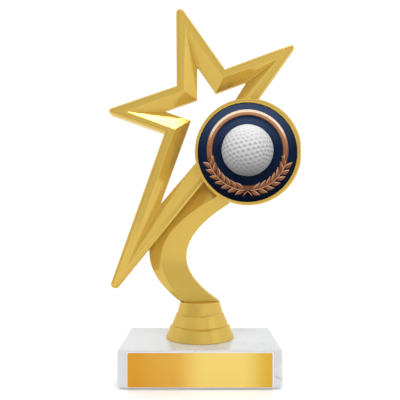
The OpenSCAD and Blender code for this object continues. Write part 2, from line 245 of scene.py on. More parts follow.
class Finish:
    """A procedural material being built: short calls that add nodes and links."""

    def __init__(self, name):
        self.material = bpy.data.materials.new(name)
        self.material.use_nodes = True
        self.tree = self.material.node_tree
        self.shader = self.tree.nodes["Principled BSDF"]
        self.place = self.node("ShaderNodeTexCoord").outputs["Object"]

    def node(self, kind, links=(), **values):
        """A new node, its properties and unlinked sockets set by name, then linked by socket."""
        n = self.tree.nodes.new(kind)
        for key, value in values.items():
            if hasattr(n, key):
                setattr(n, key, value)
            else:
                n.inputs[key.replace("_", " ").title()].default_value = value
        for key, source in dict(links).items():
            self.tree.links.new(source, n.inputs[key])
        return n

    def shader_values(self, **values):
        """Sets the shader's own sockets to constants."""
        for key, value in values.items():
            self.shader.inputs[key.replace("_", " ")].default_value = value

    def link(self, source, socket):
        self.tree.links.new(source, self.shader.inputs[socket])

    def stretched(self, scale):
        """Object coordinates moved and scaled, for a pattern that runs one way."""
        return self.node("ShaderNodeMapping", {"Vector": self.place}, Scale=scale).outputs[0]

    def noise(self, scale, detail=3.0, vector=None, roughness=0.5, distortion=0.0):
        """Soft noise from 0 to 1."""
        links = {"Vector": vector or self.place}
        return self.node("ShaderNodeTexNoise", links, Scale=scale, Detail=detail,
                         Roughness=roughness, Distortion=distortion).outputs["Fac"]

    def ramp(self, source, stops, interpolation="EASE"):
        """A colour ramp: stops are (position, colour)."""
        n = self.node("ShaderNodeValToRGB", {"Fac": source})
        n.color_ramp.interpolation = interpolation
        elements = n.color_ramp.elements
        while len(elements) < len(stops):
            elements.new(0.5)
        for element, (position, shade) in zip(elements, stops):
            element.position = position
            element.color = (*shade, 1.0)
        return n.outputs["Color"]

    def span(self, source, low, high, to_low=0.0, to_high=1.0):
        """A value mapped from one range to another, clamped."""
        n = self.node("ShaderNodeMapRange", {"Value": source})
        for key, value in zip(("From Min", "From Max", "To Min", "To Max"), (low, high, to_low, to_high)):
            n.inputs[key].default_value = value
        return n.outputs["Result"]

    def blend(self, share, first, second):
        """Two colours mixed by a share from 0 to 1; each may be a colour or a socket."""
        n = self.node("ShaderNodeMix", data_type="RGBA")
        self.tree.links.new(share, n.inputs["Factor"])
        for key, value in (("A", first), ("B", second)):
            socket = [s for s in n.inputs if s.name == key and s.type == "RGBA"][0]
            if isinstance(value, bpy.types.NodeSocket):
                self.tree.links.new(value, socket)
            else:
                socket.default_value = (*value, 1.0)
        return [s for s in n.outputs if s.type == "RGBA"][0]

    def axis(self, name):
        """One Object coordinate, in metres."""
        return self.node("ShaderNodeSeparateXYZ", {"Vector": self.place}).outputs[name]

    def bump(self, height, strength, distance):
        n = self.node("ShaderNodeBump", {"Height": height})
        n.inputs["Strength"].default_value = strength
        n.inputs["Distance"].default_value = distance
        self.link(n.outputs["Normal"], "Normal")


def gold_plastic(look):
    """Metallised plastic: broad faint drifts in colour and softness, and a slow ripple in the skin.
    The tint keeps its edges golden where a polished metal's would turn white."""
    f = Finish("metallised_gold")
    f.link(f.blend(f.noise(38, 2), tuple(look.gold_deep), tuple(look.gold)), "Base Color")
    f.link(f.span(f.noise(90, 2), 0.3, 0.7, look.roughness - 0.02, look.roughness + 0.02), "Roughness")
    f.bump(f.noise(60, 1), 0.03, 0.0005)
    f.shader_values(Metallic=look.metal, Specular_Tint=(*look.edge, 1.0), Specular_IOR_Level=0.35)
    return f.material


def veined_marble(look):
    """White marble: pale clouds, thin wandering veins and a few darker flecks, polished."""
    f = Finish("white_marble")
    warped = f.stretched((1.0, 1.6, 1.0))
    clouds = f.span(f.noise(26, 5, warped, 0.62, 0.6), 0.50, 0.78)
    folds = f.noise(34, 6, warped, 0.6, 1.6)
    ridge = f.node("ShaderNodeMath", {0: f.node("ShaderNodeMath", {0: folds}, operation="SUBTRACT").outputs[0]},
                   operation="ABSOLUTE")
    vein = f.span(ridge.outputs[0], 0.0, 0.022, 1.0, 0.0)
    patchy = f.span(f.noise(18, 2), 0.44, 0.60)
    flecks = f.span(f.noise(150, 3, warped, 0.7), 0.70, 0.80)
    shade = f.blend(f.span(clouds, 0, 1, 0, 0.6), tuple(look.marble), tuple(look.vein))
    faint = f.node("ShaderNodeMath", {0: vein, 1: patchy}, operation="MULTIPLY").outputs[0]
    shade = f.blend(f.span(faint, 0, 1, 0, 0.75), shade, tuple(look.vein))
    shade = f.blend(f.span(flecks, 0, 1, 0, 0.5), shade, tuple(look.vein))
    f.link(shade, "Base Color")
    f.link(f.span(clouds, 0, 1, 0.22, 0.34), "Roughness")
    f.bump(f.noise(300, 4), 0.05, 0.0003)
    f.shader_values(Coat_Weight=0.3, Coat_Roughness=0.1)
    return f.material


def satin_plate(look):
    """Satin gold metal with a fine horizontal grain and a painted reflection that changes along its length."""
    f = Finish("satin_gold_plate")
    low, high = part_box("nameplate")
    along = f.span(f.axis("X"), low.x, high.x)
    wander = f.noise(26, 2)
    along = f.node("ShaderNodeMath", {0: along, 1: f.span(wander, 0.3, 0.7, -0.02, 0.02)}, operation="ADD").outputs[0]
    left, middle, right = tuple(look.plate_left), tuple(look.plate_painted_reflection), tuple(look.plate_right)
    warm = tuple(0.75 * a + 0.25 * b for a, b in zip(left, middle))
    # Painted reflection: the gold is palest just right of the middle and darker towards both ends.
    f.link(f.ramp(along, [(0.0, left), (0.30, warm), (0.54, middle), (0.80, middle), (1.0, right)]), "Base Color")
    grain = f.noise(1.0, 4, f.stretched((300, 300, 9000)))
    f.link(f.span(grain, 0.3, 0.7, 0.34, 0.44), "Roughness")
    f.bump(grain, 0.08, 0.0001)
    f.shader_values(Metallic=0.55)
    return f.material


def white_tape():
    """White adhesive foam, seen only at its edge."""
    f = Finish("white_tape")
    f.link(f.blend(f.noise(700, 3), (0.86, 0.86, 0.88), (0.93, 0.93, 0.94)), "Base Color")
    f.bump(f.noise(1500, 2), 0.2, 0.0001)
    f.shader_values(Roughness=0.6)
    return f.material


def pale_felt():
    """Pressed felt: short fibres in two greys."""
    f = Finish("pale_felt")
    fibres = f.noise(1.0, 5, f.stretched((1800, 900, 1800)), 0.7)
    f.link(f.blend(fibres, (0.60, 0.61, 0.62), (0.80, 0.81, 0.82)), "Base Color")
    f.bump(fibres, 0.5, 0.0003)
    f.shader_values(Roughness=0.95, Sheen_Weight=0.3)
    return f.material


def tone(f):
    """The tone of painted light and shade that the mesh carries, from 0 to 1."""
    return f.node("ShaderNodeAttribute", attribute_name="tone").outputs["Fac"]


def navy_enamel(look):
    """Dark blue print with painted shade: palest at the top and darker towards the bottom, with painted
    shadows where the ring and the ball would shade it, and a fine speckle."""
    f = Finish("navy_enamel")
    low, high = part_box("insert_disc")
    up = f.span(f.axis("Z"), low.z, high.z)
    # Painted shade: the blue darkens from the top of the disc towards its bottom.
    shade = f.ramp(up, [(0.0, tuple(look.navy_low)), (0.5, tuple(look.navy_middle)), (1.0, tuple(look.navy_top))])
    shade = f.blend(f.span(f.noise(500, 3), 0.3, 0.7, 0.0, 0.05), shade, tuple(look.navy_top))
    # Where the tone is low the blue turns darkest: the painted shadows of the ring and the ball.
    f.link(f.blend(tone(f), tuple(look.navy_low), shade), "Base Color")
    f.link(f.span(f.noise(160, 2), 0.3, 0.7, 0.50, 0.62), "Roughness")
    f.bump(f.noise(900, 2), 0.04, 0.0001)
    f.shader_values(Specular_IOR_Level=0.03)
    return f.material


def brushed_bronze(look):
    """Bronze in five tones of painted shading, from the painted shade in its creases to the painted cream highlight
    on its edges, with short brushed scratches.
    """
    f = Finish("brushed_bronze")
    scratch = f.noise(1.0, 4, f.stretched((2600, 2600, 500)), 0.7)
    level = f.node("ShaderNodeMath", {0: tone(f), 1: f.span(scratch, 0.3, 0.7, -0.07, 0.07)},
                   operation="ADD").outputs[0]
    f.link(f.ramp(level, [(0.0, tuple(look.bronze_shade)), (0.42, tuple(look.bronze)),
                          (0.70, tuple(look.bronze_light)), (1.0, tuple(look.cream))], "LINEAR"), "Base Color")
    f.link(f.span(scratch, 0.3, 0.7, 0.34, 0.5), "Roughness")
    f.bump(scratch, 0.1, 0.0001)
    f.shader_values(Metallic=0.25, Specular_IOR_Level=0.2)
    return f.material


def ball_enamel(look):
    """White enamel with the ball's painted shading and the painted shade of its dimples on the relief."""
    f = Finish("ball_enamel")
    speckle = f.span(f.noise(900, 3), 0.3, 0.7, -0.02, 0.02)
    level = f.node("ShaderNodeMath", {0: tone(f), 1: speckle}, operation="ADD").outputs[0]
    f.link(f.ramp(level, [(0.0, tuple(look.ball_shade)), (1.0, tuple(look.ball))], "LINEAR"), "Base Color")
    f.bump(f.noise(2500, 2), 0.05, 0.00005)
    f.shader_values(Roughness=0.42, Specular_IOR_Level=0.2)
    return f.material


def plated_steel():
    """Zinc-plated steel with a faint turned grain."""
    f = Finish("zinc_plated_steel")
    grain = f.noise(1.0, 3, f.stretched((400, 400, 6000)))
    f.link(f.blend(grain, (0.52, 0.53, 0.55), (0.66, 0.67, 0.70)), "Base Color")
    f.link(f.span(grain, 0.3, 0.7, 0.25, 0.4), "Roughness")
    f.shader_values(Metallic=1.0)
    return f.material


def machined_brass():
    """Brass with fine turning marks."""
    f = Finish("machined_brass")
    grain = f.noise(1.0, 3, f.stretched((300, 300, 5000)))
    f.link(f.blend(grain, (0.62, 0.43, 0.15), (0.76, 0.56, 0.22)), "Base Color")
    f.link(f.span(grain, 0.3, 0.7, 0.22, 0.36), "Roughness")
    f.shader_values(Metallic=1.0)
    return f.material


def shared(name, make, *args):
    """A material that is made once and then reused by name."""
    return bpy.data.materials.get(name) or make(*args)


def gold():
    return shared("metallised_gold", gold_plastic, bpy.context.scene.trophy_figure)


def steel():
    return shared("zinc_plated_steel", plated_steel)


# ---------------------------------------------------------------- the star

# Corners of the star, clockwise from the top point, as across and up in millimetres in the frame.
# Points and notches take turns, and the third point lies behind the holder.
STAR_OUTER = MM * np.array([
    (-12.4, 195.5), (12.9, 159.7), (51.4, 173.9), (27.9, 140.5), (44, 111),
    (9.7, 110.8), (-50.5, 36.6), (-18.4, 126.7), (-50.4, 138), (-12.1, 151.1)])
STAR_CREST = MM * np.array([
    (-7.5, 182), (12, 155.3), (40.9, 165.4), (22.8, 140.7), (38, 114.5),
    (9, 113.5), (-37.7, 58), (-13.1, 128.3), (-38.5, 137.6), (-8.4, 148.4)])
STAR_OPENING = MM * np.array([
    (-1.5, 162.5), (8.4, 148.3), (24.7, 154.4), (15.8, 140.5), (27.4, 120.7),
    (5.3, 120.5), (-20.9, 89.7), (-4.8, 133.9), (-19, 138.8), (-1.5, 144.8)])
IS_POINT = np.arange(10) % 2 == 0
TIP_RADII = MM * np.array([2.1, 0.3, 1.6, 0.3, 1.6, 0.3, 2.3, 0.3, 1.6, 0.3])
# Section of an arm: its slope, the groove inside the bead, the wall and the channel in the back
SLOPE_WIDTH = 6.3 * MM
SLOPE_DEPTH = 5 * MM
GROOVE = 0.16 * MM
STAR_WALL = 1.8 * MM
CORE_DEPTH = 3.2 * MM
PIN_PLACES = MM * np.array([(8, 115.6), (38.5, 113.5), (25.7, 133.8)])
PIN_BOSS = 3.2 * MM


def ring_at(corners, radii, depth):
    """A rounded outline in the XZ plane, placed at a depth along Y."""
    flat = rounded(corners, radii, 6)
    return np.stack([flat[:, 0], np.full(len(flat), depth), flat[:, 1]], axis=-1)


def star_surface(bead, crest):
    """The star's closed skin: rounded outlines stacked along a section that starts at the outer
    wall's back, climbs the wall, rolls over the bead as a quarter circle, dips into a fine groove,
    crosses the flat rim, bends over the crest as a parabola, runs down the slope to the opening's edge, goes straight
    back and returns through the channel in the star's back."""
    front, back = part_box("star_frame")[0].y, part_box("star_frame")[1].y
    slope = STAR_OPENING - STAR_CREST
    small = 0.25 * MM

    def outer(by, depth):
        radii = np.where(IS_POINT, np.maximum(TIP_RADII - by, small), TIP_RADII + by)
        return ring_at(inset(STAR_OUTER, by) if by else STAR_OUTER, radii, depth)

    def inner(along, depth, radius=small):
        return ring_at(STAR_CREST + slope * along / SLOPE_WIDTH, radius, depth)

    rings = [outer(0, back), outer(0, front + bead)]
    for turn in np.linspace(0, pi / 2, 7)[1:]:
        rings.append(outer(bead * (1 - np.cos(turn)), front + bead * (1 - np.sin(turn))))
    for along, dip in ((0.3, 1.0), (0.9, 1.0), (1.3, 0.0)):
        rings.append(outer(bead + GROOVE * along, front + GROOVE * dip))
    for along in np.linspace(-crest, crest, 7):
        rings.append(inner(along, front + SLOPE_DEPTH / SLOPE_WIDTH * (along + crest) ** 2 / (4 * crest)))
    lip = 0.3 * MM
    rings.append(inner(SLOPE_WIDTH - lip, front + SLOPE_DEPTH * (SLOPE_WIDTH - lip) / SLOPE_WIDTH))
    for turn in np.linspace(0, pi / 2, 4)[1:]:
        rings.append(inner(SLOPE_WIDTH - lip * (1 - np.sin(turn)) * 0.5,
                           front + SLOPE_DEPTH - lip * 0.4 * np.cos(turn) + lip * 0.3 * (1 - np.cos(turn))))
    rings.append(inner(SLOPE_WIDTH, back))
    foot = 0.45 * SLOPE_WIDTH
    rings += [inner(foot, back, 0.6 * MM), inner(foot, back - CORE_DEPTH, 0.6 * MM)]
    wall_radii = np.where(IS_POINT, 0.5 * MM, 1.2 * MM)
    walled = inset(STAR_OUTER, STAR_WALL)
    rings += [ring_at(walled, wall_radii, back - CORE_DEPTH), ring_at(walled, wall_radii, back)]
    return np.stack(rings)


def bar(start, end, half_width, front, back):
    """A flat bar between two points of the XZ plane: a closed strip of four corners, capped at both
    ends by a middle point."""
    along = unit(end - start)
    side = along[::-1] * (1, -1) * half_width
    corners = [(-1, front), (1, front), (1, back), (-1, back)]
    rows = []
    for point, spread in ((start, 0), (start, 1), (end, 1), (end, 0)):
        rows.append([(*(point + side * s * spread), y if spread else (front + back) / 2) for s, y in corners])
    rows = np.array(rows)
    return rows[:, :, (0, 2, 1)]


def star_ribs():
    """Cross ribs in the star's back: short bars across the channel, from the outer wall to the same
    share of the channel's inner side."""
    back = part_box("star_frame")[1].y
    wall = inset(STAR_OUTER, 0.7 * STAR_WALL)
    core = STAR_CREST + 0.5 * (STAR_OPENING - STAR_CREST)
    wall_to, core_to = np.roll(wall, -1, axis=0), np.roll(core, -1, axis=0)
    ribs = []
    for share in (0.22, 0.44, 0.66, 0.86):
        for foot, tip in zip(wall + (wall_to - wall) * share, core + (core_to - core) * share):
            ribs.append((bar(foot, tip, 0.5 * MM, back - CORE_DEPTH - 0.2 * MM, back - 0.15 * MM), False, True))
    return ribs


def pin_bosses(front, back, places):
    """Round posts for the pins, each a lathe turned about its own axis along Y, with a soft end."""
    soft = 0.3 * MM
    posts = []
    for x, z in places:
        profile = soft_profile([(0, -back), (PIN_BOSS, -back), (PIN_BOSS, -front), (0, -front)],
                               [0, soft, soft, 0], 3)
        posts.append((lathe(profile, (x, 0, z), "Y", 40), False, True))
    return posts


def even_shading(obj):
    """Lets each large flat face set its own shading, so that only the small curved ones blend."""
    weighted = obj.modifiers.new("even_shading", "WEIGHTED_NORMAL")
    weighted.mode = "FACE_AREA"
    weighted.weight = 50
    weighted.keep_sharp = True


class TROPHY_OT_star(bpy.types.Operator):
    """Builds the open star with its beaded and grooved rim, inner slopes and ribbed back"""
    bl_idname = "trophy.star"
    bl_label = "Star"

    def execute(self, context):
        look = context.scene.trophy_figure
        low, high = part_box("star_frame")
        parts = [(star_surface(look.bead, look.crest), True, True)]
        parts += star_ribs()
        parts += pin_bosses(low.y + 4 * MM, high.y, PIN_PLACES)
        star = new_piece("star", parts, gold(), ["star_frame"])
        even_shading(star)
        return {"FINISHED"}


# ---------------------------------------------------------------- the stem

# Each side of the stem: its leftmost point across and up, and how sharply it bends below and above
STEM_LEFT = (-27.3 * MM, 64 * MM, 0.0243 / MM, 0.0279 / MM)
STEM_RIGHT = (-7.3 * MM, 61.9 * MM, 0.0315 / MM, 0.0282 / MM)
STEM_LEAN = 0.83


def side_curve(z, side):
    """A parabola through its leftmost point, with one coefficient below it and one above it."""
    x, mid_z, below, above = side
    return x + np.where(z < mid_z, below, above) * (z - mid_z) ** 2


def stem_sides(z):
    """Left side, crest and right side of the blade at height z. Each side is a parabola, and the
    left one runs straight on once it leans as the star does. The crest drifts away from the left
    side in proportion to the height."""
    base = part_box("stem")[0].z
    bend = side_curve(z, STEM_LEFT)
    lean_z = STEM_LEFT[1] + STEM_LEAN / (2 * STEM_LEFT[3])
    straight = side_curve(lean_z, STEM_LEFT) + STEM_LEAN * (z - lean_z)
    left = np.minimum(np.where(z < lean_z, bend, straight), 4 * MM)
    right = np.minimum(side_curve(z, STEM_RIGHT), 42 * MM)
    crest = np.minimum(bend + 3 * MM + 0.142 * (z - base), right - 2 * MM)
    return left, crest, right


def stem_surface():
    """The stem's closed skin: a rounded section of the blade at each height, with a shallow hollow
    in its back that fades out towards both ends, and the ends drawn together to a middle point."""
    low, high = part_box("stem")
    z = np.concatenate([[low.z, low.z], low.z + MM * np.array([0.12, 0.35]),
                        np.linspace(low.z + 1 * MM, high.z - 0.5 * MM, 90), [high.z, high.z]])
    left, crest, right = stem_sides(z)
    front = -0.8 * MM + 1.1 * MM * np.minimum((z - low.z) / (45 * MM), 1)
    back = high.y
    hollow = 3.6 * MM * np.clip((z - low.z - 13 * MM) / (4 * MM), 0, 1) * np.clip((103 * MM - z) / (4 * MM), 0, 1)
    floor = back - np.maximum(hollow, 0.02 * MM)
    wall = 2.3 * MM
    corners = np.stack([
        np.stack([left, front + 3.2 * MM], -1), np.stack([crest, front], -1),
        np.stack([right, front + 1.8 * MM], -1), np.stack([right, np.full_like(z, back)], -1),
        np.stack([right - wall, np.full_like(z, back)], -1), np.stack([right - wall * 1.2, floor], -1),
        np.stack([left + wall * 1.2, floor], -1), np.stack([left + wall, np.full_like(z, back)], -1),
        np.stack([left, np.full_like(z, back)], -1)], axis=1)
    radii = MM * np.array([0.5, 0.8, 0.45, 0.5, 0.008, 0.008, 0.008, 0.008, 0.5])
    rings = []
    for k, height in enumerate(z):
        flat = rounded(corners[k], radii, 5)
        middle = flat.mean(axis=0)
        draw = {0: 0.0, 1: 0.97, 2: 0.99, len(z) - 1: 0.0}.get(k, 1.0)
        flat = middle + (flat - middle) * draw
        rings.append(np.stack([flat[:, 0], flat[:, 1], np.full(len(flat), height)], axis=-1))
    return np.stack(rings)


class TROPHY_OT_stem(bpy.types.Operator):
    """Builds the curved two-facet blade that carries the star"""
    bl_idname = "trophy.stem"
    bl_label = "Stem"

    def execute(self, context):
        stem = new_piece("stem_blade", [(stem_surface(), False, True)], gold(), ["stem"], smooth=50)
        even_shading(stem)
        return {"FINISHED"}


# ---------------------------------------------------------------- the riser

class TROPHY_OT_riser(bpy.types.Operator):
    """Turns the stepped riser, three cones with a fine groove over each shoulder"""
    bl_idname = "trophy.riser"
    bl_label = "Riser"

    def execute(self, context):
        low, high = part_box("riser")
        foot_r, tall = (high.x - low.x) / 2, high.z - low.z
        centre = ((low.x + high.x) / 2, (low.y + high.y) / 2, low.z)
        top_r = 10.6 * MM
        bore = 2.3 * MM
        profile = [(bore, 0), (foot_r, 0), (foot_r - 2.35 * MM, 6.1 * MM), (foot_r - 3.05 * MM, 6.6 * MM),
                   (foot_r - 3.45 * MM, 6.8 * MM), (foot_r - 3.3 * MM, 7.2 * MM), (top_r + 2.2 * MM, 12.7 * MM),
                   (top_r + 1.6 * MM, 13.1 * MM), (top_r + 1.4 * MM, 13.3 * MM), (top_r + 1.5 * MM, 13.7 * MM),
                   (top_r, tall), (bore, tall)]
        radii = MM * np.array([0, 0.3, 0.15, 0.08, 0.05, 0.05, 0.15, 0.08, 0.05, 0.05, 0.3, 0])
        grid = lathe(soft_profile(profile, radii, 6), centre, "Z")
        riser = new_piece("riser_cone", [(grid, True, True)], gold(), ["riser"], smooth=40)
        even_shading(riser)
        return {"FINISHED"}


# ---------------------------------------------------------------- the holder and its insert

def holder_surface():
    """The holder's closed skin turned about its own axis: back ring, outer wall, rounded lip with a
    fine groove, a bright inner step and the recess. Past the flat on its right the surface is cut
    off straight."""
    low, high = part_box("holder_cup")
    insert_low, insert_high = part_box("insert_disc")
    radius = (high.z - low.z) / 2
    centre_x, centre_z = low.x + radius, (low.z + high.z) / 2
    deep = high.y - low.y
    recess = (insert_high.x - insert_low.x) / 2 + 0.1 * MM
    shift_x = (insert_low.x + insert_high.x) / 2 - centre_x
    shift_z = (insert_low.z + insert_high.z) / 2 - centre_z
    face = deep - (insert_low.y - low.y)
    floor = face - 1.1 * MM
    r = radius - recess
    profile = [(6 * MM, 2 * MM), (radius - 3.5 * MM, 2 * MM), (radius - 3.5 * MM, 0), (radius, 0), (radius, deep),
               (recess + 0.52 * r, deep), (recess + 0.47 * r, deep - 0.3 * MM), (recess + 0.40 * r, deep - 0.08 * MM),
               (recess + 0.16 * r, deep - 0.14 * MM), (recess, deep - 0.34 * MM), (recess, floor), (0, floor)]
    radii = MM * np.array([0, 0.2, 0.3, 0.4, 0.85, 0.1, 0.04, 0.08, 0.1, 0.1, 0.05, 0])
    profile = soft_profile(profile, radii, 6)
    profile = np.concatenate([[(0, 0), (5.8 * MM, 0), (6 * MM, 0.2 * MM)], profile])
    grid = lathe(profile, (centre_x, high.y, centre_z), "Y", 256)
    inner = np.clip((radius - np.hypot(grid[..., 0] - centre_x, grid[..., 2] - centre_z)) / r, 0, 1)
    in_front = grid[..., 1] < high.y - floor + 0.1 * MM
    grid[..., 0] += shift_x * inner * in_front
    grid[..., 2] += shift_z * inner * in_front
    grid[..., 0] = np.minimum(grid[..., 0], high.x)
    return grid, (centre_x, centre_z), radius


def holder_ribs(centre, radius):
    """Spokes across the hollow in the holder's back."""
    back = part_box("holder_cup")[1].y
    spokes = []
    for angle in np.arange(6) * pi / 3:
        way = np.array([np.cos(angle), np.sin(angle)])
        spokes.append((bar(np.array(centre) + way * 5.5 * MM, np.array(centre) + way * (radius - 3.2 * MM),
                           0.7 * MM, back - 2.2 * MM, back - 0.1 * MM), False, True))
    return spokes


class TROPHY_OT_holder(bpy.types.Operator):
    """Turns the round insert holder with its lip and ribbed back"""
    bl_idname = "trophy.holder"
    bl_label = "Holder"

    def execute(self, context):
        grid, centre, radius = holder_surface()
        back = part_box("holder_cup")[1].y
        parts = [(grid, False, True)] + holder_ribs(centre, radius)
        parts += pin_bosses(back - 2.2 * MM, back, PIN_PLACES)
        holder = new_piece("insert_holder", parts, gold(), ["holder_cup"], smooth=40)
        even_shading(holder)
        return {"FINISHED"}


def art_centre():
    low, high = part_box("insert_ring")
    return (low.x + high.x) / 2, (low.z + high.z) / 2


class TROPHY_OT_insert(bpy.types.Operator):
    """Builds the insert's navy disc and the bronze ring on it"""
    bl_idname = "trophy.insert"
    bl_label = "Insert and ring"

    def execute(self, context):
        look = context.scene.trophy_insert
        low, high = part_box("insert_disc")
        r, thick = (high.x - low.x) / 2, high.y - low.y
        centre = ((low.x + high.x) / 2, high.y, (low.z + high.z) / 2)
        profile = soft_profile([(0, 0), (r, 0), (r, thick), (0, thick)], MM * np.array([0, 0.1, 0.3, 0]))
        enamel = shared("navy_enamel", navy_enamel, look)
        profile = np.concatenate([np.linspace((0, thick), (r - 0.3 * MM, thick), 60),
                                  profile[::-1][1:]])
        disc = lathe(profile, centre, "Y")
        x, z = art_centre()
        away, up = np.hypot(disc[..., 0] - x, disc[..., 2] - z), disc[..., 2] - z
        # Painted shadows on the navy: a band just inside the upper half of the ring, and a pool under the ball.
        overhead = np.clip(up / np.maximum(away, MM), 0, 1)
        ring_shadow = np.exp(-((away - 17.2 * MM) / (1.1 * MM)) ** 2) * overhead
        ball_shadow = np.exp(-(np.clip(away - 12.5 * MM, 0, None) / (2.6 * MM)) ** 2)
        ball_shadow *= np.clip(0.5 - up / away.clip(MM), 0, 1)
        painted_shading = 1 - 0.75 * ring_shadow - 0.7 * ball_shadow
        new_piece("navy_disc", [(disc, False, True, painted_shading)], enamel, ["insert_disc"], smooth=40)
        low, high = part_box("insert_ring")
        outer, inner, rise = (high.x - low.x) / 2, 17.7 * MM, high.y - low.y
        x, z = art_centre()
        band = outer - inner
        profile = [(inner, 0), (inner + 0.1 * band, rise), (inner + 0.58 * band, rise),
                   (inner + 0.66 * band, rise * 0.82), (outer - 0.12 * band, rise * 0.62), (outer, 0)]
        radii = MM * np.array([0, 0.12, 0.08, 0.08, 0.25, 0])
        profile = soft_profile(profile, radii)
        steps = np.linspace(0, len(profile) - 1, 4 * len(profile))
        profile = np.stack([np.interp(steps, np.arange(len(profile)), c) for c in profile.T], axis=-1)
        grid = lathe(profile, (x, high.y, z), "Y", 256)
        away, up = np.hypot(grid[..., 0] - x, grid[..., 2] - z), (grid[..., 2] - z) / outer
        # Painted shading of the ring: lighter towards the top, a painted highlight on the outer edge of the upper
        # half, and painted shade along the inner edge and across the bottom.
        edge = np.clip((away - 19.3 * MM) / (0.15 * MM), 0, 1)
        painted_shading = 0.41 + 0.27 * up + (0.75 * np.clip((up - 0.1) / 0.65, 0, 1)) * edge
        painted_shading -= 0.24 * np.clip((18.1 * MM - away) / (0.2 * MM), 0, 1)
        painted_shading -= 0.34 * np.clip((-0.3 - up) / 0.2, 0, 1) * (np.abs(grid[..., 0] - x) > 4.5 * MM)
        bronze = shared("brushed_bronze", brushed_bronze, look)
        new_piece("bronze_ring", [(grid, True, True, np.clip(painted_shading, 0, 1))], bronze,
                  ["insert_ring"], smooth=40)
        return {"FINISHED"}


def leaf_surface(foot, tip, width, base, rise):
    """A laurel leaf between two points of the XZ plane. Along it the half-width follows the sine of
    the length to the power 0.75, fullest past the foot. Across it the height is a ridge along the
    midrib that falls to the edges, and an underside closes the form. Its tone is painted shading:
    painted shade at the foot, along the midrib and on the very edge, and a painted highlight just
    inside the edge that faces up."""
    along = np.linspace(0, 1, 15)[:, None]
    across = np.concatenate([np.linspace(-1, 1, 13), [0.5, -0.5]])[None, :]
    under = np.array([False] * 13 + [True] * 2)[None, :]
    half = 0.5 * width * np.sin(pi * along ** 0.75) ** 0.8
    line = tip - foot
    side = unit(line)[::-1] * (1, -1)
    curl = 0.06 * np.linalg.norm(line) * np.sin(pi * along)
    height = (0.35 + 0.65 * (1 - np.abs(across) ** 1.2)) * np.sin(pi * np.clip(along, 0.03, 0.97)) ** 0.35
    height = np.where(under, 0.0, height * (1 - 0.28 * np.exp(-(across / 0.13) ** 2)))
    x = foot[0] + line[0] * along + side[0] * (half * across + curl)
    z = foot[1] + line[1] * along + side[1] * (half * across + curl)
    lit = across * np.sign(side[1])
    # Painted shading of the leaf: shade at the foot, in the midrib and on the edge, and a painted highlight inside
    # the upper edge and at the tip.
    painted_shading = 0.26 + 0.34 * along + 0.20 * lit - 0.20 * np.exp(-(across / 0.16) ** 2)
    painted_shading = painted_shading + 0.75 * along * np.clip((lit - 0.45) / 0.2, 0, 1) - 0.2 * np.clip((-lit - 0.5) / 0.3, 0, 1)
    painted_shading = painted_shading + 0.3 * np.clip((along - 0.85) / 0.12, 0, 1)
    painted_shading = painted_shading * (1 - 0.95 * np.clip((np.abs(across) - 0.68) / 0.14, 0, 1))
    return np.stack([x, base - rise * height, z], axis=-1), False, True, np.where(under, 0.1, painted_shading.clip(0, 1))


def stalk_surface(points, width, base, rise):
    """A rounded stalk through points of the XZ plane: a half-round strip that tapers to its ends."""
    way = unit(np.gradient(points, axis=0))
    side = way[:, ::-1] * (1, -1)
    turn = np.linspace(0, pi, 7)[None, :]
    taper = np.clip(np.minimum(np.arange(len(points)), np.arange(len(points))[::-1]) / 2, 0.0, 1)[:, None]
    half = 0.5 * width * taper
    x = points[:, :1] + side[:, :1] * half * np.cos(turn)
    z = points[:, 1:] + side[:, 1:] * half * np.cos(turn)
    # Painted highlight along the stalk's rounded crown, painted shade at its sides.
    painted_shading = 0.25 + 0.5 * np.clip(np.sin(turn), 0, 1) * np.ones_like(taper)
    return np.stack([x, base - rise * np.sin(turn) * taper, z], axis=-1), False, True, painted_shading


def polar(r, degrees):
    return np.array([r * np.cos(radians(degrees)), r * np.sin(radians(degrees))])


def laurel_spray(hand, centre, base, front):
    """One spray: pairs of leaves stepped at even angles along a round stalk, a closing leaf at its
    end and the stalk's cut foot. The other hand mirrors it across the middle."""
    mirror = np.array([hand, 1.0])
    rise = base - front
    stalk_r, pitch, sweep = 20.4 * MM, 9.9, 11
    parts = []

    def leaf(foot, tip, width, lift):
        a, b = centre + foot * mirror, centre + tip * mirror
        parts.append(leaf_surface(a, b, width, base, rise * lift))

    for i in range(7):
        outer, inner = -15 - pitch * i, -9 - pitch * i
        leaf(polar(stalk_r, outer - sweep), polar(23.4 * MM, outer), 2.5 * MM, 0.9)
        leaf(polar(stalk_r, inner - sweep - 4), polar(17.4 * MM, inner), 2.5 * MM, 1.0)
    leaf(polar(19.6 * MM, -18), polar(18.9 * MM, -5.5), 2.4 * MM, 1.0)
    angles = np.linspace(-17, -88, 30)
    ring = np.array([polar(stalk_r, a) for a in angles])
    parts.append(stalk_surface(centre + ring * mirror, 0.7 * MM, base, rise * 0.85))
    foot = MM * np.array([(-0.6, -20.4), (0.4, -20.9), (1.3, -21.7), (2.0, -22.6), (2.5, -23.6)])
    parts.append(stalk_surface(centre + foot * mirror, 0.75 * MM, base, rise * 0.95))
    return parts


class TROPHY_OT_laurel(bpy.types.Operator):
    """Builds the two laurel sprays that cross under the ball"""
    bl_idname = "trophy.laurel"
    bl_label = "Laurel"

    def execute(self, context):
        bronze = shared("brushed_bronze", brushed_bronze, context.scene.trophy_insert)
        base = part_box("insert_ring")[1].y
        centre = np.array(art_centre())
        for node, hand in (("laurel_right", 1.0), ("laurel_left", -1.0)):
            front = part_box(node)[0].y
            parts = laurel_spray(hand, centre, base, front)
            new_piece(node + "_spray", parts, bronze, [node], smooth=60)
        return {"FINISHED"}


